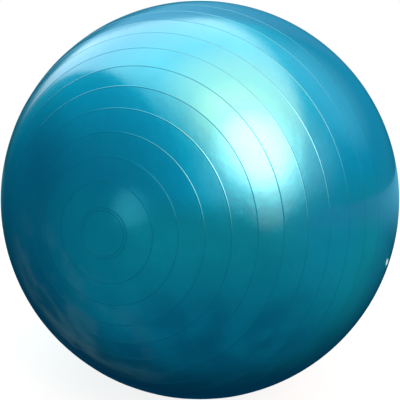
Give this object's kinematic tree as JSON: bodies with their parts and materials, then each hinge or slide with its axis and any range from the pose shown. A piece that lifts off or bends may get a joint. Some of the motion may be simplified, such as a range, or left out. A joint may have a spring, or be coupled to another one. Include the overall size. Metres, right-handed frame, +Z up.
{
  "type": "exercise ball",
  "caption": "Large inflated PVC exercise ball with fine raised rings round one axis, a soft valve insert and a push-in stopper.",
  "frame": {"origin": "centre of the flat patch that the ball rests on", "axes": "+Z up through the ball's centre; Y along the axis of the raised rings; the valve is on the +X side"},
  "size_m": [0.65, 0.65, 0.6469],
  "materials": {
    "pearl_pvc": "gloss, pearly",
    "valve_pvc": "satin",
    "stopper_plastic": "satin"
  },
  "bodies": {
    "ball": {"ball_skin": "pearl_pvc", "valve_seat": "valve_pvc"},
    "plug": {"valve_plug": "stopper_plastic"}
  },
  "joints": [
    {"name": "plug_pull", "type": "slide", "parent": "ball", "child": "plug", "axis": [0.95, -0.2351, -0.2054], "range_m": [0, 0.03]}
  ]
}
